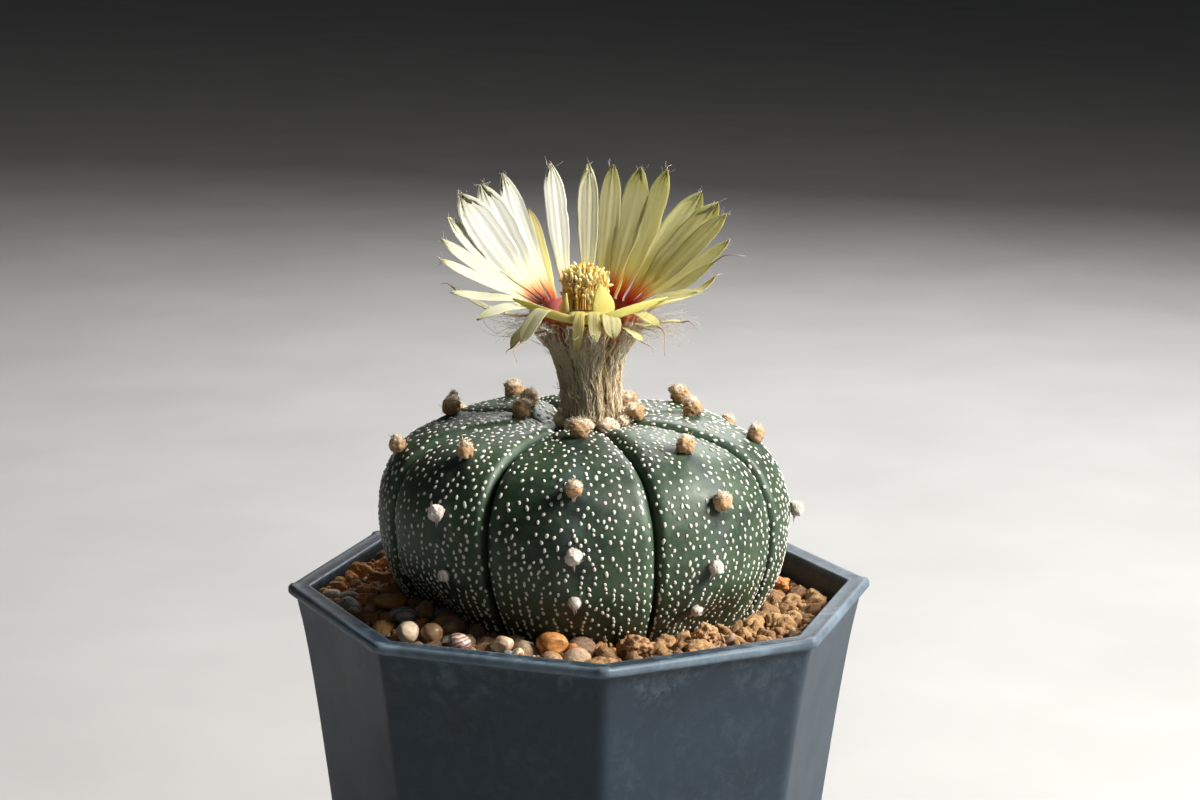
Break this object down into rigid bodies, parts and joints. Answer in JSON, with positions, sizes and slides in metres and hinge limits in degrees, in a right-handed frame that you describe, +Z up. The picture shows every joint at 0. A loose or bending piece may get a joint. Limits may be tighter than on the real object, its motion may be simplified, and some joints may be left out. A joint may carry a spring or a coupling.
{
  "type": "potted star cactus in flower",
  "caption": "Round ribbed star cactus with an open pale yellow flower, in an eight-sided slate-blue plastic pot dressed with gravel.",
  "frame": {"origin": "centre of the pot's foot, on the surface that the pot stands on", "axes": "+Z up along the pot axis; -Y is the side that the plant is seen from, +X its right"},
  "size_m": [0.1072, 0.1072, 0.1678],
  "materials": {
    "pot_plastic": "satin moulded plastic with faint scuffs and mineral bloom",
    "potting_mix": "damp gritty soil",
    "clay_grains": "dry crumbly baked clay",
    "pebble_ochre": "smooth water-worn stone",
    "pebble_pale": "smooth water-worn stone",
    "pebble_brown": "smooth water-worn stone",
    "cactus_skin": "waxy green skin with white wool flecks and tan wool tufts",
    "tube_wool": "cream wool over brown scales",
    "anthers": "dusty golden pollen",
    "stigma": "soft matt",
    "tepal_pale_yellow": "silky, thin and translucent",
    "tepal_green_yellow": "silky, thin and translucent, with brown tips"
  },
  "bodies": {
    "root": {"pot": "pot_plastic", "potting_mix": "potting_mix", "top_dressing": "clay_grains", "cactus_body": "cactus_skin", "floral_tube": "tube_wool", "stamens": "anthers", "style": "stigma", "pebble_ochre": "pebble_ochre", "pebble_banded_grey": "pebble_pale", "pebble_cream": "pebble_pale", "pebble_brown": "pebble_brown", "pebble_red_brown": "pebble_brown", "pebble_dark": "pebble_brown", "pebble_red_white": "pebble_pale", "pebble_tan": "pebble_ochre", "pebble_big_ochre": "pebble_ochre", "clump_front": "clay_grains", "clump_right": "clay_grains", "clump_orange": "clay_grains", "tepal_inner_01": "tepal_pale_yellow", "tepal_inner_02": "tepal_pale_yellow", "tepal_inner_03": "tepal_pale_yellow", "tepal_inner_04": "tepal_pale_yellow", "tepal_inner_05": "tepal_pale_yellow", "tepal_inner_06": "tepal_pale_yellow", "tepal_inner_07": "tepal_pale_yellow", "tepal_inner_08": "tepal_pale_yellow", "tepal_inner_09": "tepal_pale_yellow", "tepal_inner_10": "tepal_pale_yellow", "tepal_inner_11": "tepal_pale_yellow", "tepal_inner_12": "tepal_pale_yellow", "tepal_inner_13": "tepal_pale_yellow", "tepal_inner_14": "tepal_pale_yellow", "tepal_inner_15": "tepal_pale_yellow", "tepal_inner_16": "tepal_pale_yellow", "tepal_inner_17": "tepal_pale_yellow", "tepal_inner_18": "tepal_pale_yellow", "tepal_inner_19": "tepal_pale_yellow", "tepal_inner_20": "tepal_pale_yellow", "tepal_inner_21": "tepal_pale_yellow", "tepal_inner_22": "tepal_pale_yellow", "tepal_inner_23": "tepal_pale_yellow", "tepal_inner_24": "tepal_pale_yellow", "tepal_outer_01": "tepal_green_yellow", "tepal_outer_02": "tepal_green_yellow", "tepal_outer_03": "tepal_green_yellow", "tepal_outer_04": "tepal_green_yellow", "tepal_outer_05": "tepal_green_yellow", "tepal_outer_06": "tepal_green_yellow", "tepal_outer_07": "tepal_green_yellow"}
  },
  "joints": []
}
